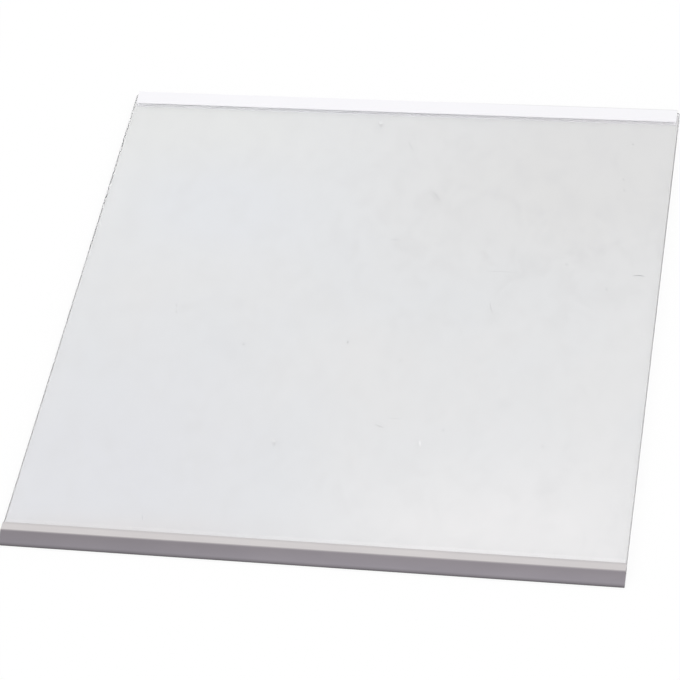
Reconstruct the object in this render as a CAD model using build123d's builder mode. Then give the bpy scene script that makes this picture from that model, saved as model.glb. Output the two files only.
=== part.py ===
# Refrigerator glass shelf: a toughened glass plate with a moulded trim pressed onto its front and its rear edge.
# X runs across the shelf, Y from front to back and Z up. The origin lies under the middle of the whole shelf,
# on the surface that it rests on. All sizes are in millimetres.
from build123d import *
import math
import os

# Glass plate: toughened float glass with rounded corners and ground edges
glass_width = 440.0
glass_depth = 453.0
glass_thickness = 4.0
glass_corner_radius = 2.0
glass_arris = 0.5

# Grip of both trims on the glass: two lips, the lower one a little longer, with narrow beads that touch the glass
lip_thickness = 1.1
lower_lip_extra = 0.3
lip_radius = 0.55
lip_edge = 0.8
lead_in = 0.15
grip_clearance = 0.2
bead_width = 1.2
bead_angle = 50.0
bead_inset = 1.4

# Front trim: a flat lip and a nose that slopes forward and down, cored out from below between ribs
front_grip = 6.6
front_web = 1.6
arris_setback = 0.7
arris_radius = 0.6
nose_reach = 9.5
nose_edge = 1.9
nose_radius = 1.0
nose_wall = 1.5
end_wall = 1.6
rib_thickness = 1.0
rib_pitch = 36.0

# Rear trim: a plain channel with a rounded back, a little shorter than the glass
rear_grip = 11.2
rear_web = 2.1
rear_end_inset = 1.7
back_radius = 0.9

# Both trims have softly rounded ends
end_radius = 0.4

# Heights, from the stack of lip, clearance, glass, clearance and lip
glass_bottom = lip_thickness + grip_clearance
glass_middle = glass_bottom + glass_thickness / 2
glass_top = glass_bottom + glass_thickness
upper_lip_under = glass_top + grip_clearance
trim_height = upper_lip_under + lip_thickness

# Places along Y, from the nose at the front to the back of the rear trim
shelf_depth = nose_reach + arris_setback + glass_depth + rear_web
front_y = -shelf_depth / 2
arris_y = front_y + nose_reach
glass_front_y = arris_y + arris_setback
front_mouth_y = glass_front_y + front_grip
front_lower_mouth_y = front_mouth_y + lower_lip_extra
glass_back_y = glass_front_y + glass_depth
glass_middle_y = (glass_front_y + glass_back_y) / 2
rear_mouth_y = glass_back_y - rear_grip
rear_lower_mouth_y = rear_mouth_y - lower_lip_extra
back_y = glass_back_y + rear_web

# Lengths along X
front_trim_length = glass_width
rear_trim_length = glass_width - 2 * rear_end_inset


def cut_glass_slot(web_y, mouth_y, lower_mouth_y, length):
    """Cut the slot for the glass edge. The upper lip closes on the glass, and the lower one is flared to let it in."""
    outward = math.copysign(1, mouth_y - web_y)
    lip_edge_y = mouth_y - outward * lip_edge
    with BuildSketch(Plane.YZ) as slot:
        with BuildLine():
            Polyline(
                (web_y, upper_lip_under),
                (lip_edge_y - outward * grip_clearance, upper_lip_under),
                (lip_edge_y, glass_top),
                (lower_mouth_y, glass_top),
                (lower_mouth_y, lip_thickness - lead_in),
                (lower_mouth_y - outward * lead_in, lip_thickness),
                (web_y, lip_thickness),
                close=True,
            )
        make_face()
    extrude(slot.sketch, amount=length / 2, both=True, mode=Mode.SUBTRACT)


def add_grip_beads(web_y, mouth_y, length):
    """Add two beads to the lower lip and one to the upper, as tall as the clearance, so that they hold the glass."""
    inward = math.copysign(1, mouth_y - web_y)
    deep_bead_y = web_y + inward * bead_inset
    mouth_bead_y = mouth_y - inward * bead_inset
    with BuildSketch(Plane.YZ) as beads:
        with Locations((deep_bead_y, lip_thickness), (mouth_bead_y, lip_thickness)):
            Trapezoid(bead_width, grip_clearance, bead_angle, align=(Align.CENTER, Align.MIN))
        with Locations((deep_bead_y, upper_lip_under)):
            Trapezoid(bead_width, grip_clearance, bead_angle, rotation=180, align=(Align.CENTER, Align.MIN))
    extrude(beads.sketch, amount=length / 2, both=True)


# The glass lies between the lips, its front and rear edges against the webs of the trims.
with BuildPart() as glass_plate:
    with BuildSketch(Plane.XY.offset(glass_bottom)):
        with Locations((0, glass_middle_y)):
            RectangleRounded(glass_width, glass_depth, glass_corner_radius)
    extrude(amount=glass_thickness)
    chamfer(glass_plate.edges().group_by(Axis.Z)[0], glass_arris)
    chamfer(glass_plate.edges().group_by(Axis.Z)[-1], glass_arris)

# The front trim starts as its full outline: the flat lip, the sloping nose and the lip below the glass.
with BuildPart() as front_trim:
    with BuildSketch(Plane.YZ):
        with BuildLine():
            Polyline(
                (arris_y, trim_height),
                (front_y, nose_edge),
                (front_y, 0),
                (front_lower_mouth_y, 0),
                (front_lower_mouth_y, glass_middle),
                (front_mouth_y, glass_middle),
                (front_mouth_y, trim_height),
                close=True,
            )
        make_face()
    extrude(amount=front_trim_length / 2, both=True)
    lip_edges = front_trim.faces().sort_by(Axis.Z)[-1].edges().filter_by(Axis.X).sort_by(Axis.Y)
    fillet(lip_edges[0], arris_radius)
    lip_edges = front_trim.faces().sort_by(Axis.Z)[-1].edges().filter_by(Axis.X).sort_by(Axis.Y)
    fillet(lip_edges[-1], lip_radius)
    fillet(front_trim.faces().sort_by(Axis.Y)[0].edges().filter_by(Axis.X), nose_radius)
    fillet(front_trim.faces().filter_by(Axis.X).edges(), end_radius)
    cut_glass_slot(glass_front_y, front_mouth_y, front_lower_mouth_y, front_trim_length)
    add_grip_beads(glass_front_y, front_mouth_y, front_trim_length)

    # Pockets under the nose leave an even wall behind the slope, a wall at each end and ribs between them.
    slope = (trim_height - nose_edge) / nose_reach
    wall_drop = nose_wall * math.hypot(1, slope)
    pocket_back_y = glass_front_y - front_web
    pocket_back_height = nose_edge + slope * (pocket_back_y - front_y) - wall_drop
    pocket_toe_y = front_y + nose_radius + nose_wall
    pocket_toe_height = nose_edge + slope * (pocket_toe_y - front_y) - wall_drop
    pocket_span = front_trim_length - 2 * end_wall
    pocket_count = round((pocket_span + rib_thickness) / rib_pitch)
    pocket_pitch = (pocket_span + rib_thickness) / pocket_count
    pocket_length = pocket_pitch - rib_thickness
    pocket_places = [(index - (pocket_count - 1) / 2) * pocket_pitch for index in range(pocket_count)]
    with BuildSketch(*[Plane.YZ.offset(x) for x in pocket_places]):
        with BuildLine():
            Polyline(
                (pocket_back_y, 0),
                (pocket_back_y, pocket_back_height),
                (pocket_toe_y, pocket_toe_height),
                (pocket_toe_y, 0),
                close=True,
            )
        make_face()
    extrude(amount=pocket_length / 2, both=True, mode=Mode.SUBTRACT)

# The rear trim is a channel of the same height, with its web behind the glass.
with BuildPart() as rear_trim:
    with BuildSketch(Plane.YZ):
        with BuildLine():
            Polyline(
                (rear_mouth_y, trim_height),
                (back_y, trim_height),
                (back_y, 0),
                (rear_lower_mouth_y, 0),
                (rear_lower_mouth_y, glass_middle),
                (rear_mouth_y, glass_middle),
                close=True,
            )
        make_face()
    extrude(amount=rear_trim_length / 2, both=True)
    fillet(rear_trim.faces().sort_by(Axis.Y)[-1].edges().filter_by(Axis.X), back_radius)
    lip_edges = rear_trim.faces().sort_by(Axis.Z)[-1].edges().filter_by(Axis.X).sort_by(Axis.Y)
    fillet(lip_edges[0], lip_radius)
    fillet(rear_trim.faces().filter_by(Axis.X).edges(), end_radius)
    cut_glass_slot(glass_back_y, rear_mouth_y, rear_lower_mouth_y, rear_trim_length)
    add_grip_beads(glass_back_y, rear_mouth_y, rear_trim_length)

glass_plate.part.label = "glass_plate"
front_trim.part.label = "front_trim"
rear_trim.part.label = "rear_trim"

os.makedirs("parts", exist_ok=True)
export_step(glass_plate.part, "parts/glass_plate.step")
export_step(front_trim.part, "parts/front_trim.step")
export_step(rear_trim.part, "parts/rear_trim.step")
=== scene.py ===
# Refrigerator glass shelf: a glass plate carried in a silver-grey front trim and a white rear trim.
# It lies on a pale studio floor and is seen from above, from the front and a little from the right.
import bmesh
import bpy
import math
from mathutils import Matrix, Vector


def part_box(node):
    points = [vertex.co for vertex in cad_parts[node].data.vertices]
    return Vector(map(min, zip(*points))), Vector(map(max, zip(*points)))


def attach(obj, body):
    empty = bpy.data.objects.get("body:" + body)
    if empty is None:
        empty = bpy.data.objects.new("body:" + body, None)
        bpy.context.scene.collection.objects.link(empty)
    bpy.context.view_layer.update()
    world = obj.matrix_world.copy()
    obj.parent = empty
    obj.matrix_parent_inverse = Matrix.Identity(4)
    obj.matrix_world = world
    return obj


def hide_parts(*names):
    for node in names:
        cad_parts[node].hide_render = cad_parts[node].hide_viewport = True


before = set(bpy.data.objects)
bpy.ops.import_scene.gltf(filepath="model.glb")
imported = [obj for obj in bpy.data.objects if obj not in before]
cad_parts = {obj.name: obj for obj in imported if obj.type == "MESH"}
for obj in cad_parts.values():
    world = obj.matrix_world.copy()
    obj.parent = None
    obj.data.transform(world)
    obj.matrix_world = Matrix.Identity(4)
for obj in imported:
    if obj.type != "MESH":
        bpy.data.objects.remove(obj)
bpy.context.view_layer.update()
MM = 0.001

# Glass plate: clear toughened float glass, cut to size, its corners rounded and its edges ground before
# toughening. It is held only by the two trims, and its faces carry the faint film and smears of use.
glass_low, glass_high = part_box("glass_plate")
glass_corner = 2.0 * MM
glass_corner_steps = 6
glass_arris = 0.5 * MM
# The plate is drawn in by a hair, so that light passes between its faces and the beads that touch them.
bead_room = 0.02 * MM
glass_top = glass_high.z - bead_room
glass_bottom = glass_low.z + bead_room
glass_middle = (glass_top + glass_bottom) / 2
glass_ior = 1.52


def rounded_outline(low, high, inset, corner, steps):
    """Points round a rectangle with rounded corners, anticlockwise, drawn in by inset."""
    radius = corner - inset
    centres = [
        (high.x - corner, high.y - corner),
        (low.x + corner, high.y - corner),
        (low.x + corner, low.y + corner),
        (high.x - corner, low.y + corner),
    ]
    points = []
    for quarter, (centre_x, centre_y) in enumerate(centres):
        for step in range(steps + 1):
            angle = (quarter + step / steps) * math.pi / 2
            points.append((centre_x + radius * math.cos(angle), centre_y + radius * math.sin(angle)))
    return points


def finished_mesh(name, shape):
    """A mesh made from a shape that is complete."""
    mesh = bpy.data.meshes.new(name)
    shape.to_mesh(mesh)
    shape.free()
    return mesh


def add_piece(name, mesh):
    """An object for a finished mesh."""
    piece = bpy.data.objects.new(name, mesh)
    bpy.context.collection.objects.link(piece)
    return piece


glass_rings = [
    (glass_bottom, glass_arris),
    (glass_bottom + glass_arris, 0.0),
    (glass_top - glass_arris, 0.0),
    (glass_top, glass_arris),
]
glass_shape = bmesh.new()
rings = []
for height, inset in glass_rings:
    outline = rounded_outline(glass_low, glass_high, inset, glass_corner, glass_corner_steps)
    rings.append([glass_shape.verts.new((x, y, height)) for x, y in outline])
glass_shape.faces.new(rings[-1])
glass_shape.faces.new(list(reversed(rings[0])))
for lower, upper in zip(rings, rings[1:]):
    for index in range(len(lower)):
        following = (index + 1) % len(lower)
        side = glass_shape.faces.new((lower[index], lower[following], upper[following], upper[index]))
        side.material_index = 1
glass_mesh = finished_mesh("glass_plate_clear", glass_shape)
glass_piece = add_piece("glass_plate_clear", glass_mesh)

# The film on the glass: a cool and a clean tone in soft clouds, a grey stretch towards the rear right corner,
# a paler one towards the front right, bluish ones towards the front left and behind it, a wiped one at the
# rear left and a dusty one along the front lip on the left. Their rims wander.
glass_tint_cool = (0.843, 0.851, 0.863, 1.0)
glass_tint_clean = (0.855, 0.856, 0.860, 1.0)
film_tint_grey = (0.826, 0.825, 0.825, 1.0)
film_tint_pale = (0.894, 0.890, 0.895, 1.0)
film_tint_cool = (0.835, 0.840, 0.861, 1.0)
film_tint_clear = (0.864, 0.869, 0.867, 1.0)
film_tint_blue = (0.849, 0.858, 0.875, 1.0)
film_tint_dusty = (0.841, 0.834, 0.843, 1.0)
film_detail = 4.0
film_full = 0.6
cloud_waves = 7.0
cloud_range = (0.35, 0.65)
wander_size = 9.0 * MM
wander_waves = 55.0
noise_middle = (0.5, 0.5, 0.5)


def new_material(name):
    """A material with its tree cleared down to one Principled shader and the output."""
    material = bpy.data.materials.new(name)
    material.use_nodes = True
    tree = material.node_tree
    tree.nodes.clear()
    output = tree.nodes.new("ShaderNodeOutputMaterial")
    shader = tree.nodes.new("ShaderNodeBsdfPrincipled")
    tree.links.new(shader.outputs["BSDF"], output.inputs["Surface"])
    return material, tree, shader


def piece_place(tree):
    """The place on the piece, in metres."""
    return tree.nodes.new("ShaderNodeTexCoord").outputs["Object"]


def piece_axes(tree):
    """The place on the piece as separate X, Y and Z."""
    axes = tree.nodes.new("ShaderNodeSeparateXYZ")
    tree.links.new(piece_place(tree), axes.inputs["Vector"])
    return axes.outputs


def piece_noise(tree, waves, detail, stretch=(1.0, 1.0, 1.0)):
    """Soft noise that is fixed to the piece, with its waves counted per metre."""
    mapping = tree.nodes.new("ShaderNodeMapping")
    mapping.inputs["Scale"].default_value = stretch
    noise = tree.nodes.new("ShaderNodeTexNoise")
    noise.inputs["Scale"].default_value = waves
    noise.inputs["Detail"].default_value = detail
    tree.links.new(piece_place(tree), mapping.inputs["Vector"])
    tree.links.new(mapping.outputs["Vector"], noise.inputs["Vector"])
    return noise


def spread(tree, value, from_low, from_high, low=0.0, high=1.0):
    """A value carried from one range to another and held at its ends."""
    step = tree.nodes.new("ShaderNodeMapRange")
    step.inputs["From Min"].default_value = from_low
    step.inputs["From Max"].default_value = from_high
    step.inputs["To Min"].default_value = low
    step.inputs["To Max"].default_value = high
    tree.links.new(value, step.inputs["Value"])
    return step.outputs["Result"]


def combine(tree, operation, *values):
    """One arithmetic step on values that are sockets or plain numbers."""
    step = tree.nodes.new("ShaderNodeMath")
    step.operation = operation
    for slot, value in zip(step.inputs, values):
        if isinstance(value, (int, float)):
            slot.default_value = value
        else:
            tree.links.new(value, slot)
    return step.outputs["Value"]


def mix_colours(tree, factor, low, high, blend="MIX"):
    """A colour that runs with factor from low to high, or to their product. Both are colours or sockets."""
    mix = tree.nodes.new("ShaderNodeMix")
    mix.data_type = "RGBA"
    mix.blend_type = blend
    tree.links.new(factor, mix.inputs["Factor"])
    for slot, colour in ((mix.inputs["A"], low), (mix.inputs["B"], high)):
        if isinstance(colour, tuple):
            slot.default_value = colour
        else:
            tree.links.new(colour, slot)
    return mix.outputs["Result"]


def soft_spot(tree, place, centre, half_sizes, turn):
    """A spot that is one at its middle and fades to zero at its rim, round or drawn out."""
    mapping = tree.nodes.new("ShaderNodeMapping")
    mapping.vector_type = "TEXTURE"
    mapping.inputs["Location"].default_value = (centre[0] * MM, centre[1] * MM, glass_top)
    mapping.inputs["Rotation"].default_value = (0.0, 0.0, math.radians(turn))
    mapping.inputs["Scale"].default_value = (half_sizes[0] * MM, half_sizes[1] * MM, 1.0)
    spot = tree.nodes.new("ShaderNodeTexGradient")
    spot.gradient_type = "QUADRATIC_SPHERE"
    tree.links.new(place, mapping.inputs["Vector"])
    tree.links.new(mapping.outputs["Vector"], spot.inputs["Vector"])
    return spot.outputs["Fac"]


glass_material, tree, shader = new_material("smeared_clear_glass")
shader.inputs["Transmission Weight"].default_value = 1.0
shader.inputs["IOR"].default_value = glass_ior
shader.inputs["Roughness"].default_value = 0.0
centred = tree.nodes.new("ShaderNodeVectorMath")
centred.operation = "SUBTRACT"
centred.inputs[1].default_value = noise_middle
tree.links.new(piece_noise(tree, wander_waves, film_detail).outputs["Color"], centred.inputs[0])
wander = tree.nodes.new("ShaderNodeVectorMath")
wander.operation = "MULTIPLY_ADD"
wander.inputs[1].default_value = (wander_size, wander_size, 0.0)
tree.links.new(centred.outputs["Vector"], wander.inputs[0])
tree.links.new(piece_place(tree), wander.inputs[2])
wandering = wander.outputs["Vector"]
clouds = piece_noise(tree, cloud_waves, film_detail).outputs["Fac"]
tint = mix_colours(tree, spread(tree, clouds, *cloud_range), glass_tint_cool, glass_tint_clean)
# Each stretch of film has the place of its middle, its half sizes in millimetres, its turn and its tone.
films = [
    ((185, 180), (340, 250), 20, film_tint_grey),
    ((130, -216), (280, 165), 10, film_tint_pale),
    ((-190, -190), (300, 240), 30, film_tint_cool),
    ((-180, 190), (260, 200), 0, film_tint_clear),
    ((-125, 105), (190, 115), -8, film_tint_blue),
    ((-150, -217), (200, 29), 4, film_tint_dusty),
]
for centre, half_sizes, turn, film_tint in films:
    film = spread(tree, soft_spot(tree, wandering, centre, half_sizes, turn), 0.0, film_full)
    tint = mix_colours(tree, film, tint, film_tint)

# Thin smears all over, drawn out a little from front to back and densest towards the rear right corner.
smear_tint = (0.795, 0.795, 0.800, 1.0)
smear_waves = 50.0
smear_detail = 7.0
smear_stretch = (1.1, 0.85, 1.0)
smear_roughness = 0.62
smear_distortion = 0.9
smear_range = (0.46, 0.66)
smear_share_thin = 0.2
smear_share_dense = 0.55
smear_dense_middle = (140, 120)
smear_dense_half_sizes = (260, 190)
smear_dense_turn = 15
smear_dense_full = 0.4
smear_noise = piece_noise(tree, smear_waves, smear_detail, smear_stretch)
smear_noise.inputs["Roughness"].default_value = smear_roughness
smear_noise.inputs["Distortion"].default_value = smear_distortion
smears = smear_noise.outputs["Fac"]
dense = soft_spot(tree, wandering, smear_dense_middle, smear_dense_half_sizes, smear_dense_turn)
smear_share = spread(tree, dense, 0.0, smear_dense_full, smear_share_thin, smear_share_dense)
smeared = combine(tree, "MULTIPLY", spread(tree, smears, *smear_range), smear_share)
tint = mix_colours(tree, smeared, tint, smear_tint)

# Smudges on the upper face only, broken up by the smears. Each has the place of its middle, its half sizes
# in millimetres, its turn and its strength.
smudge_tint = (0.765, 0.765, 0.775, 1.0)
smudge_full = 0.45
smudge_break_range = (0.35, 0.6)
smudge_break_share = 0.35
smudges = [
    ((127, 117), (40, 11), -12, 0.34),
    ((176, 77), (12, 6), 40, 0.36),
    ((183, 57), (8, 11), 0, 0.36),
    ((41, 127), (13, 5), -54, 0.34),
    ((14, 180), (11, 5), -62, 0.24),
    ((160, 165), (30, 14), 25, 0.20),
    ((119, -79), (13, 9), 60, 0.26),
    ((164, -148), (18, 38), -6, 0.22),
    ((-125, 1), (22, 7), 30, 0.24),
    ((-91, 6), (9, 12), 0, 0.24),
    ((-95, -40), (30, 14), -35, 0.18),
    ((-96, -120), (34, 16), 15, 0.20),
    ((60, 60), (26, 12), -20, 0.16),
]
smudged = 0.0
for centre, half_sizes, turn, strength in smudges:
    smudge = spread(tree, soft_spot(tree, wandering, centre, half_sizes, turn), 0.0, smudge_full)
    smudged = combine(tree, "MULTIPLY_ADD", smudge, strength, smudged)
broken_up = spread(tree, smears, *smudge_break_range, smudge_break_share)
smudged = combine(tree, "MULTIPLY", smudged, broken_up)
on_plate = piece_axes(tree)
upper_face = combine(tree, "GREATER_THAN", on_plate["Z"], glass_middle)
tint = mix_colours(tree, combine(tree, "MULTIPLY", smudged, upper_face), tint, smudge_tint)

# Painted light: a narrow strip along each lip is painted paler, lifting the trims' shade on the glass, more
# so on the right, and the left side a little.
painted_light_tint = (0.980, 0.972, 0.980, 1.0)
front_lip_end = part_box("front_trim")[1].y
front_strip = (front_lip_end + 2.6 * MM, front_lip_end + 4.4 * MM)
front_strip_across = (-150.0 * MM, 100.0 * MM)
front_strip_shares = (0.4, 1.0)
rear_lip_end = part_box("rear_trim")[0].y
rear_strip = (rear_lip_end - 3.4 * MM, rear_lip_end - 2.2 * MM)
rear_strip_across = (-50.0 * MM, 170.0 * MM)
rear_strip_shares = (0.1, 0.8)
left_strip = (glass_low.x + 4.0 * MM, glass_low.x + 20.0 * MM)
left_strip_share = 0.1
front_share = spread(tree, on_plate["X"], *front_strip_across, *front_strip_shares)
by_front = combine(tree, "MULTIPLY", spread(tree, on_plate["Y"], *front_strip, 1.0, 0.0), front_share)
rear_share = spread(tree, on_plate["X"], *rear_strip_across, *rear_strip_shares)
by_rear = combine(tree, "MULTIPLY", spread(tree, on_plate["Y"], *rear_strip), rear_share)
by_left = spread(tree, on_plate["X"], *left_strip, left_strip_share, 0.0)
by_rim = combine(tree, "ADD", combine(tree, "ADD", by_front, by_rear), by_left)
tint = mix_colours(tree, combine(tree, "MULTIPLY", by_rim, upper_face), tint, painted_light_tint)
tree.links.new(tint, shader.inputs["Base Color"])
glass_mesh.materials.append(glass_material)

# The ground edge is clear glass with a frosted skin and the fine streaks of the grinding wheel along it.
# It turns greyer towards the right.
ground_edge_light = (0.985, 0.985, 0.985, 1.0)
ground_edge_dark = (0.955, 0.960, 0.960, 1.0)
ground_edge_greyer = (0.820, 0.825, 0.825, 1.0)
ground_edge_clarity = 0.75
ground_edge_roughness = (0.9, 1.0)
grinding_waves = 900.0
grinding_detail = 3.0
grinding_stretch = (0.04, 0.04, 2.0)
grinding_range = (0.3, 0.7)
edge_greying_across = (-100.0 * MM, 100.0 * MM)
edge_greying_share = 0.8
edge_material, tree, shader = new_material("ground_glass_edge")
shader.inputs["Transmission Weight"].default_value = ground_edge_clarity
shader.inputs["IOR"].default_value = glass_ior
grinding = piece_noise(tree, grinding_waves, grinding_detail, grinding_stretch).outputs["Fac"]
edge_roughness = spread(tree, grinding, *grinding_range, *ground_edge_roughness)
tree.links.new(edge_roughness, shader.inputs["Roughness"])
streaked = mix_colours(tree, grinding, ground_edge_dark, ground_edge_light)
greyer_right = spread(tree, piece_axes(tree)["X"], *edge_greying_across, 0.0, edge_greying_share)
tree.links.new(mix_colours(tree, greyer_right, streaked, ground_edge_greyer), shader.inputs["Base Color"])
glass_mesh.materials.append(edge_material)

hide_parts("glass_plate")
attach(glass_piece, "root")

# Marks on the glass: a few dark scuff lines and specks, fainter strokes, dried drops and one pale chip,
# left by dishes and jars. Each is a thin tapered sliver that lies on the upper face. It is given by the
# points that it follows on the plate and its width at the middle, in millimetres.
mark_thickness = 0.01 * MM
mark_end_share = 0.15
mark_roughness = 0.8
mark_waves = 900.0
mark_detail = 2.0
scuff_grey = (0.30, 0.30, 0.31, 1.0)
scuff_grey_pale = (0.44, 0.44, 0.45, 1.0)
faint_grey = (0.44, 0.44, 0.45, 1.0)
faint_grey_pale = (0.56, 0.56, 0.57, 1.0)
drop_grey = (0.74, 0.74, 0.75, 1.0)
drop_grey_pale = (0.78, 0.78, 0.79, 1.0)
chip_white = (0.92, 0.92, 0.93, 1.0)
chip_white_dull = (0.84, 0.84, 0.85, 1.0)
scuff_lines = [
    ([(199.5, 52), (204, 52.8), (208.5, 52.2)], 0.75),
    ([(29.5, -105.5), (33, -107.3), (36.7, -108.3)], 0.3),
    ([(-2.8, -26.6), (-2.6, -30.2)], 0.63),
]
faint_lines = [
    ([(36, 133.5), (41.5, 127), (46, 120)], 0.34),
    ([(35.5, 130), (40, 125.5), (43, 121)], 0.22),
    ([(39, 131), (43, 127)], 0.20),
    ([(97, 18.5), (98, 13), (100.2, 8)], 0.36),
    ([(-81.5, -35.4), (-78.8, -36.2)], 0.94),
    ([(-121.8, -200.5), (-120.3, -206)], 0.3),
    ([(186, 193.8), (187.8, 191.6)], 0.95),
    ([(180.8, 38.6), (182.2, 35.4)], 0.6),
    ([(-139.4, 1.2), (-138, -2.4)], 0.48),
    ([(-138.2, -5.2), (-136.4, -8.8)], 0.54),
    ([(12.8, 78.3), (19.8, 78.9)], 0.42),
    ([(184.2, 143.4), (185.8, 139.6)], 0.72),
    ([(182.6, 154.6), (183.6, 152.4)], 0.85),
    ([(148.2, 61.5), (150.4, 59.7)], 0.72),
    ([(10.3, 187), (13, 182), (16.5, 175.6)], 0.28),
    ([(90.5, 50), (102, 50.4), (115, 49.6)], 0.17),
    ([(38, -99), (49, -99.4)], 0.2),
    ([(151, -116.6), (152.3, -118)], 1.0),
    ([(79, -106.8), (80.2, -108.2)], 0.85),
    ([(38.4, -43), (39.6, -44.4)], 1.1),
]
drop_lines = [
    ([(-15.3, 209), (-14.6, 207), (-13.8, 205)], 3.3),
    ([(-41.2, -124.6), (-40.6, -126.2), (-40, -127.8)], 2.7),
]
chip_lines = [
    ([(64, -118), (64.6, -121), (65.3, -124)], 1.1),
]


def add_sliver(shape, points, width):
    """A closed sliver that follows points on the glass, widest at its middle and narrow at its ends."""
    line = [Vector((x * MM, y * MM, 0.0)) for x, y in points]
    stations = []
    for near, far in zip(line, line[1:]):
        stations.extend((near, (near + far) / 2))
    stations.append(line[-1])
    under = Vector((0.0, 0.0, glass_top))
    over = Vector((0.0, 0.0, glass_top + mark_thickness))
    low_left, low_right, high_left, high_right = [], [], [], []
    for index, station in enumerate(stations):
        ahead = stations[min(index + 1, len(stations) - 1)] - stations[max(index - 1, 0)]
        across = Vector((-ahead.y, ahead.x, 0.0)).normalized()
        swell = math.sin(math.pi * index / (len(stations) - 1))
        half_width = width * MM / 2 * (mark_end_share + (1.0 - mark_end_share) * swell)
        low_left.append(shape.verts.new(station + across * half_width + under))
        low_right.append(shape.verts.new(station - across * half_width + under))
        high_left.append(shape.verts.new(station + across * half_width + over))
        high_right.append(shape.verts.new(station - across * half_width + over))
    corners = [low_left, low_right, high_right, high_left]
    for index in range(len(stations) - 1):
        for near, far in zip(corners, corners[1:] + corners[:1]):
            shape.faces.new((near[index], near[index + 1], far[index + 1], far[index]))
    shape.faces.new([corner[0] for corner in corners])
    shape.faces.new([corner[-1] for corner in reversed(corners)])


def add_marks(name, lines, material):
    """One piece with a sliver for each line."""
    shape = bmesh.new()
    for points, width in lines:
        add_sliver(shape, points, width)
    bmesh.ops.recalc_face_normals(shape, faces=shape.faces)
    mesh = finished_mesh(name, shape)
    mesh.materials.append(material)
    piece = add_piece(name, mesh)
    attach(piece, "root")


def mark_material(name, low, high):
    """A dry mark on the glass, uneven along its length between two tones."""
    material, tree, shader = new_material(name)
    shader.inputs["Roughness"].default_value = mark_roughness
    uneven = piece_noise(tree, mark_waves, mark_detail).outputs["Fac"]
    tree.links.new(mix_colours(tree, uneven, low, high), shader.inputs["Base Color"])
    return material


add_marks("scuff_marks", scuff_lines, mark_material("dark_scuff", scuff_grey, scuff_grey_pale))
add_marks("faint_marks", faint_lines, mark_material("faint_scuff", faint_grey, faint_grey_pale))
add_marks("dried_drops", drop_lines, mark_material("dried_drop", drop_grey, drop_grey_pale))
add_marks("chip_marks", chip_lines, mark_material("pale_chip", chip_white_dull, chip_white))

# Hairline scratches and dust: the fine wear that shelf glass picks up all over, too thin to see from a step
# away. They are strewn over the free part of the upper face, the scratches mostly from front to back.
wear_margin_side = 6.0 * MM
wear_margin_front = 14.0 * MM
wear_margin_rear = 20.0 * MM
sliver_sides = 6
hairline_grey = (0.50, 0.50, 0.51, 1.0)
hairline_pale = (0.78, 0.78, 0.79, 1.0)
dust_grey = (0.55, 0.54, 0.52, 1.0)
dust_pale = (0.88, 0.87, 0.86, 1.0)


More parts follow.
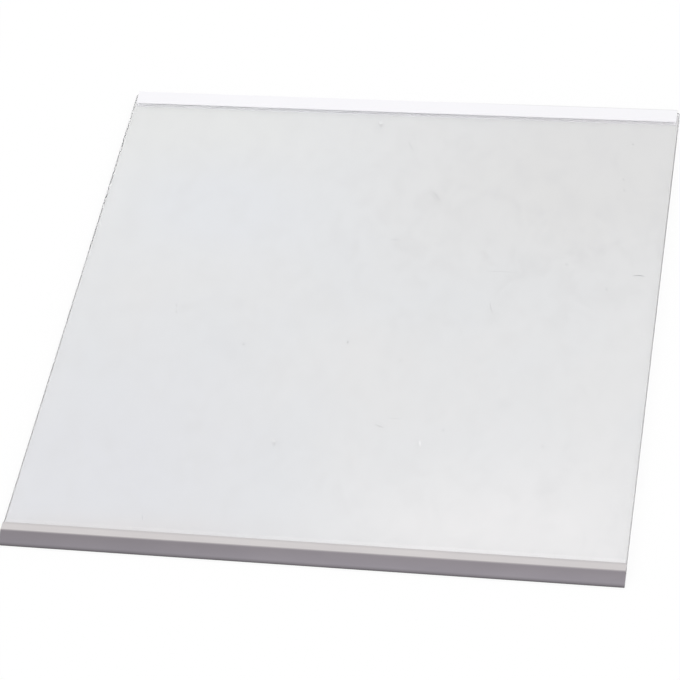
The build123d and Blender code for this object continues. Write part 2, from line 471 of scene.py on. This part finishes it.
def scatter_tree():
    """Strews flat slivers over a sheet, with named inputs for their number, sizes and turn."""
    tree = bpy.data.node_groups.new("strewn_slivers", "GeometryNodeTree")
    tree.interface.new_socket("Sheet", in_out="INPUT", socket_type="NodeSocketGeometry")
    for name in ("Density", "Shortest", "Longest", "Narrowest", "Widest", "Thickness", "Turn"):
        tree.interface.new_socket(name, in_out="INPUT", socket_type="NodeSocketFloat")
    tree.interface.new_socket("Seed", in_out="INPUT", socket_type="NodeSocketInt")
    tree.interface.new_socket("Finish", in_out="INPUT", socket_type="NodeSocketMaterial")
    tree.interface.new_socket("Slivers", in_out="OUTPUT", socket_type="NodeSocketGeometry")
    given = tree.nodes.new("NodeGroupInput").outputs
    result = tree.nodes.new("NodeGroupOutput")
    strewn = tree.nodes.new("GeometryNodeDistributePointsOnFaces")
    tree.links.new(given["Sheet"], strewn.inputs["Mesh"])
    tree.links.new(given["Density"], strewn.inputs["Density"])
    tree.links.new(given["Seed"], strewn.inputs["Seed"])
    # One sliver is one unit long, wide and thick before it gets its size.
    sliver = tree.nodes.new("GeometryNodeMeshCylinder")
    sliver.inputs["Vertices"].default_value = sliver_sides
    sliver.inputs["Radius"].default_value = 0.5
    sliver.inputs["Depth"].default_value = 1.0
    smallest = tree.nodes.new("ShaderNodeCombineXYZ")
    largest = tree.nodes.new("ShaderNodeCombineXYZ")
    sizes = [
        ("X", "Shortest", "Longest"),
        ("Y", "Narrowest", "Widest"),
        ("Z", "Thickness", "Thickness"),
    ]
    for axis, low, high in sizes:
        tree.links.new(given[low], smallest.inputs[axis])
        tree.links.new(given[high], largest.inputs[axis])
    size = tree.nodes.new("FunctionNodeRandomValue")
    size.data_type = "FLOAT_VECTOR"
    tree.links.new(smallest.outputs["Vector"], size.inputs["Min"])
    tree.links.new(largest.outputs["Vector"], size.inputs["Max"])
    tree.links.new(given["Seed"], size.inputs["Seed"])
    turn = tree.nodes.new("FunctionNodeRandomValue")
    turn.data_type = "FLOAT"
    tree.links.new(combine(tree, "MULTIPLY", given["Turn"], -1.0), turn.inputs["Min"])
    tree.links.new(given["Turn"], turn.inputs["Max"])
    tree.links.new(given["Seed"], turn.inputs["Seed"])
    # A sliver without a turn lies from front to back.
    about_up = tree.nodes.new("ShaderNodeCombineXYZ")
    tree.links.new(combine(tree, "ADD", turn.outputs["Value"], math.pi / 2), about_up.inputs["Z"])
    rotation = tree.nodes.new("FunctionNodeEulerToRotation")
    tree.links.new(about_up.outputs["Vector"], rotation.inputs["Euler"])
    placed = tree.nodes.new("GeometryNodeInstanceOnPoints")
    tree.links.new(strewn.outputs["Points"], placed.inputs["Points"])
    tree.links.new(sliver.outputs["Mesh"], placed.inputs["Instance"])
    tree.links.new(rotation.outputs["Rotation"], placed.inputs["Rotation"])
    tree.links.new(size.outputs["Value"], placed.inputs["Scale"])
    realized = tree.nodes.new("GeometryNodeRealizeInstances")
    tree.links.new(placed.outputs["Instances"], realized.inputs["Geometry"])
    finished = tree.nodes.new("GeometryNodeSetMaterial")
    tree.links.new(realized.outputs["Geometry"], finished.inputs["Geometry"])
    tree.links.new(given["Finish"], finished.inputs["Material"])
    tree.links.new(finished.outputs["Geometry"], result.inputs["Slivers"])
    return tree


def strew(name, tree, values):
    """A piece of slivers strewn over the free part of the upper face of the glass."""
    height = glass_top + mark_thickness
    left = glass_low.x + wear_margin_side
    right = glass_high.x - wear_margin_side
    front = glass_low.y + wear_margin_front
    rear = glass_high.y - wear_margin_rear
    sheet = bpy.data.meshes.new(name)
    corners = [(left, front, height), (right, front, height), (right, rear, height), (left, rear, height)]
    sheet.from_pydata(corners, [], [(0, 1, 2, 3)])
    piece = add_piece(name, sheet)
    modifier = piece.modifiers.new("strewn", "NODES")
    modifier.node_group = tree
    for socket in tree.interface.items_tree:
        if socket.in_out == "INPUT" and socket.name in values:
            modifier[socket.identifier] = values[socket.name]
    evaluated = piece.evaluated_get(bpy.context.evaluated_depsgraph_get())
    strewn_mesh = bpy.data.meshes.new_from_object(evaluated)
    strewn_mesh.name = name
    piece.modifiers.remove(modifier)
    piece.data = strewn_mesh
    bpy.data.meshes.remove(sheet)
    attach(piece, "root")


slivers = scatter_tree()
strew("hairline_scratches", slivers, {
    "Density": 900.0,
    "Shortest": 3.0 * MM,
    "Longest": 16.0 * MM,
    "Narrowest": 0.03 * MM,
    "Widest": 0.09 * MM,
    "Thickness": mark_thickness,
    "Turn": math.radians(55),
    "Seed": 4,
    "Finish": mark_material("hairline_scratch", hairline_grey, hairline_pale),
})
strew("dust_specks", slivers, {
    "Density": 500.0,
    "Shortest": 0.15 * MM,
    "Longest": 0.55 * MM,
    "Narrowest": 0.10 * MM,
    "Widest": 0.30 * MM,
    "Thickness": mark_thickness,
    "Turn": math.pi,
    "Seed": 9,
    "Finish": mark_material("dust_speck", dust_grey, dust_pale),
})

# Rear trim: a white plastic channel, moulded in one piece and pressed onto the rear edge of the glass.
# Its skin is satin, with the fine grain of the mould, and light spreads within its web and lower lip.
rear_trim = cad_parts["rear_trim"]
rear_low, rear_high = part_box("rear_trim")
rear_white = (0.924, 0.917, 0.948, 1.0)
rear_white_dull = (0.902, 0.896, 0.922, 1.0)
rear_back_painted_light = (0.970, 0.966, 0.982, 1.0)
rear_back_shade = (0.700, 0.700, 0.705, 1.0)
rear_light_spread = 4.5 * MM
rear_light_heights = (glass_top - 0.8 * MM, glass_top + 0.2 * MM)
rear_mouth = (rear_low.y, rear_low.y + 1.5 * MM)
rear_mouth_light = 0.45
rear_patch_waves = 40.0
rear_patch_detail = 5.0
rear_patch_range = (0.3, 0.7)
rear_roughness = (0.36, 0.48)
rear_back = (rear_high.y - 1.4 * MM, rear_high.y - 0.6 * MM)
rear_back_share = 0.9
rear_shade_across = (30.0 * MM, 110.0 * MM)
rear_shade_on_top = 0.06
rear_grain_waves = 1800.0
rear_grain_depth = 0.006 * MM
grain_detail = 2.0


def grain_bump(tree, shader, waves, depth):
    """The fine grain that a mould leaves in plastic."""
    bump = tree.nodes.new("ShaderNodeBump")
    bump.inputs["Strength"].default_value = 1.0
    bump.inputs["Distance"].default_value = depth
    tree.links.new(piece_noise(tree, waves, grain_detail).outputs["Fac"], bump.inputs["Height"])
    tree.links.new(bump.outputs["Normal"], shader.inputs["Normal"])


def dress_node(node, material):
    """Gives a carried-over node its finish."""
    node.data.materials.clear()
    node.data.materials.append(material)


rear_material, tree, shader = new_material("satin_white_plastic")
shader.subsurface_method = "BURLEY"
shader.inputs["Subsurface Radius"].default_value = (1.0, 1.0, 1.0)
shader.inputs["Subsurface Scale"].default_value = rear_light_spread
on_rear = piece_axes(tree)
below_upper_lip = spread(tree, on_rear["Z"], *rear_light_heights, 1.0, 0.0)
behind_mouth = spread(tree, on_rear["Y"], *rear_mouth, rear_mouth_light)
light_within = combine(tree, "MULTIPLY", below_upper_lip, behind_mouth)
tree.links.new(light_within, shader.inputs["Subsurface Weight"])
patches = piece_noise(tree, rear_patch_waves, rear_patch_detail).outputs["Fac"]
white = mix_colours(tree, patches, rear_white_dull, rear_white)
# Painted light: the back edge is painted whiter along its rounding. Towards the right end a painted shade
# darkens the back edge instead, and faintly the top there.
at_back = spread(tree, on_rear["Y"], *rear_back, 0.0, rear_back_share)
at_right = spread(tree, on_rear["X"], *rear_shade_across)
white = mix_colours(tree, at_back, white, rear_back_painted_light)
# Painted shade: the back edge darkens towards the right end, with a faint painted shade on the top there.
back_shade = combine(tree, "MULTIPLY", at_right, combine(tree, "MAXIMUM", at_back, rear_shade_on_top))
tree.links.new(mix_colours(tree, back_shade, white, rear_back_shade), shader.inputs["Base Color"])
tree.links.new(spread(tree, patches, *rear_patch_range, *rear_roughness), shader.inputs["Roughness"])
grain_bump(tree, shader, rear_grain_waves, rear_grain_depth)
dress_node(rear_trim, rear_material)

# Front trim: a plastic moulding with a light grey lip over the glass and a darker satin silver nose, pressed
# onto the front edge. The tone changes at the arris between the two. The lip is painted darker beside the
# glass and the nose towards its lower edge, both painted shade, and the right half of the nose is lighter.
front_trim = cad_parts["front_trim"]
front_low, front_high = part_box("front_trim")
nose_reach = 9.5 * MM
toe = front_low.y
arris = front_low.y + nose_reach + front_high.z
lip_grey = (0.648, 0.619, 0.617, 1.0)
lip_glass_shade = (0.540, 0.520, 0.525, 1.0)
lip_shade_depths = (front_high.y - 2.8 * MM, front_high.y - 1.3 * MM)
lip_shade_share = 0.6
nose_silver_low = (0.2415, 0.2220, 0.2465, 1.0)
nose_silver_high = (0.2250, 0.2055, 0.2240, 1.0)
nose_silver_range = (toe + 5.0 * MM, arris - 3.0 * MM)
nose_lighter = (1.150, 1.150, 1.150, 1.0)
nose_lighter_across = (-130.0 * MM, 10.0 * MM)
nose_toe_shade = (0.060, 0.056, 0.059, 1.0)
toe_shade_range = (toe + 0.6 * MM, toe + 4.9 * MM)
toe_shade_falloff = 1.5
arris_band = (arris - 1.3 * MM, arris + 1.0 * MM)
arris_falloff = 2.4
front_dull = (0.90, 0.90, 0.91, 1.0)
front_dull_waves = 60.0
front_dull_detail = 5.0
front_dull_stretch = (0.3, 1.0, 1.0)
front_dull_range = (0.35, 0.75)
front_dull_share = 0.8
front_metallic = 0.2
front_roughness_range = (0.3, 0.7)
front_roughness = (0.40, 0.50)
front_grain_waves = 2400.0
front_grain_depth = 0.005 * MM
front_material, tree, shader = new_material("satin_silver_plastic")
shader.inputs["Metallic"].default_value = front_metallic
# Y plus Z falls steadily from the lip over the arris, down the slope and round the toe.
on_front = piece_axes(tree)
down_the_nose = combine(tree, "ADD", on_front["Y"], on_front["Z"])
high_on_nose = spread(tree, down_the_nose, *nose_silver_range)
silver = mix_colours(tree, high_on_nose, nose_silver_low, nose_silver_high)
# The right half of the nose is lighter.
lighter_right = spread(tree, on_front["X"], *nose_lighter_across)
silver = mix_colours(tree, lighter_right, silver, nose_lighter, "MULTIPLY")
# Painted shade: the lip is painted darker beside the glass.
by_the_glass = spread(tree, on_front["Y"], *lip_shade_depths, 0.0, lip_shade_share)
lip = mix_colours(tree, by_the_glass, lip_grey, lip_glass_shade)
above_arris = combine(tree, "POWER", spread(tree, down_the_nose, *arris_band), arris_falloff)
tones = mix_colours(tree, above_arris, silver, lip)
# Painted shade: the nose is painted darker towards its lower edge.
toe_shade = combine(tree, "POWER", spread(tree, down_the_nose, *toe_shade_range, 1.0, 0.0), toe_shade_falloff)
tones = mix_colours(tree, toe_shade, tones, nose_toe_shade)
dulling = piece_noise(tree, front_dull_waves, front_dull_detail, front_dull_stretch).outputs["Fac"]
dulled = spread(tree, dulling, *front_dull_range, 0.0, front_dull_share)
tree.links.new(mix_colours(tree, dulled, tones, front_dull, "MULTIPLY"), shader.inputs["Base Color"])
tree.links.new(spread(tree, dulling, *front_roughness_range, *front_roughness), shader.inputs["Roughness"])
grain_bump(tree, shader, front_grain_waves, front_grain_depth)
dress_node(front_trim, front_material)

# Floor: a plain white studio table under the shelf. It shows part of its own white whatever falls on it,
# so that the shelf's shadow on it stays faint.
floor_half = 9.0
floor_white = (0.97, 0.97, 0.97, 1.0)
floor_own_white_seen = 0.87
floor_own_white_reflected = 0.35
floor_mesh = bpy.data.meshes.new("studio_floor")
floor_corners = [(x * floor_half, y * floor_half, 0.0) for x, y in ((-1, -1), (1, -1), (1, 1), (-1, 1))]
floor_mesh.from_pydata(floor_corners, [], [(0, 1, 2, 3)])
floor = add_piece("studio_floor", floor_mesh)
floor_material, tree, shader = new_material("studio_floor")
shader.inputs["Base Color"].default_value = floor_white
shader.inputs["Roughness"].default_value = 1.0
shader.inputs["Specular IOR Level"].default_value = 0.0
own_white = tree.nodes.new("ShaderNodeEmission")
own_white.inputs["Color"].default_value = (1.0, 1.0, 1.0, 1.0)
own_white.inputs["Strength"].default_value = 1.0
ray = tree.nodes.new("ShaderNodeLightPath").outputs
through_glass = combine(tree, "MAXIMUM", ray["Is Glossy Ray"], ray["Is Transmission Ray"])
own_share = combine(tree, "MULTIPLY", through_glass, floor_own_white_reflected)
own_share = combine(tree, "MULTIPLY_ADD", ray["Is Camera Ray"], floor_own_white_seen, own_share)
floor_look = tree.nodes.new("ShaderNodeMixShader")
tree.links.new(own_share, floor_look.inputs["Fac"])
tree.links.new(shader.outputs["BSDF"], floor_look.inputs[1])
tree.links.new(own_white.outputs["Emission"], floor_look.inputs[2])
tree.links.new(floor_look.outputs["Shader"], tree.nodes["Material Output"].inputs["Surface"])
floor_mesh.materials.append(floor_material)

# Light: a soft white tent all round, brightest high up on the camera's side. Light that has passed through
# the plate keeps its full strength only with the filter on glossy rays off.
tent_axis = Vector((0.15, -0.50, 0.85)).normalized()
tent_dim = 0.84
tent_bright = 1.12
tent_from = -0.3
tent_to = 1.0
world = bpy.data.worlds.new("studio_tent")
bpy.context.scene.world = world
world.use_nodes = True
tree = world.node_tree
background = tree.nodes["Background"]
background.inputs["Color"].default_value = (1.0, 1.0, 1.0, 1.0)
direction = tree.nodes.new("ShaderNodeTexCoord")
towards = tree.nodes.new("ShaderNodeVectorMath")
towards.operation = "DOT_PRODUCT"
towards.inputs[1].default_value = tent_axis
level = tree.nodes.new("ShaderNodeMapRange")
level.interpolation_type = "SMOOTHSTEP"
level.inputs["From Min"].default_value = tent_from
level.inputs["From Max"].default_value = tent_to
level.inputs["To Min"].default_value = tent_dim
level.inputs["To Max"].default_value = tent_bright
tree.links.new(direction.outputs["Generated"], towards.inputs[0])
tree.links.new(towards.outputs["Value"], level.inputs["Value"])
tree.links.new(level.outputs["Result"], background.inputs["Strength"])
bpy.context.scene.cycles.blur_glossy = 0.0

# Camera: the photograph's view, from above the front and a little from the right, through a long lens and
# rolled by a few degrees.
view_azimuth = math.radians(15.9495)
view_elevation = math.radians(47.1129)
view_roll = math.radians(-8.8577)
view_target = Vector((-10.233 * MM, -21.990 * MM, 0.0))
view_distance = 1990.22 * MM
view_focal_pixels = 2688.52
picture_side = 680
sensor_width = 36.0
backward = Vector((
    math.sin(view_azimuth) * math.cos(view_elevation),
    -math.cos(view_azimuth) * math.cos(view_elevation),
    math.sin(view_elevation),
))
level_right = (-backward).cross(Vector((0, 0, 1))).normalized()
level_up = level_right.cross(-backward)
right = level_right * math.cos(view_roll) + level_up * math.sin(view_roll)
up = level_up * math.cos(view_roll) - level_right * math.sin(view_roll)
camera_data = bpy.data.cameras.new("camera")
camera_data.sensor_width = sensor_width
camera_data.lens = view_focal_pixels * sensor_width / picture_side
camera = bpy.data.objects.new("camera", camera_data)
bpy.context.collection.objects.link(camera)
camera_turn = Matrix((right, up, backward)).transposed().to_4x4()
camera.matrix_world = Matrix.Translation(view_target + backward * view_distance) @ camera_turn
bpy.context.scene.camera = camera
bpy.context.scene.view_settings.view_transform = "Standard"
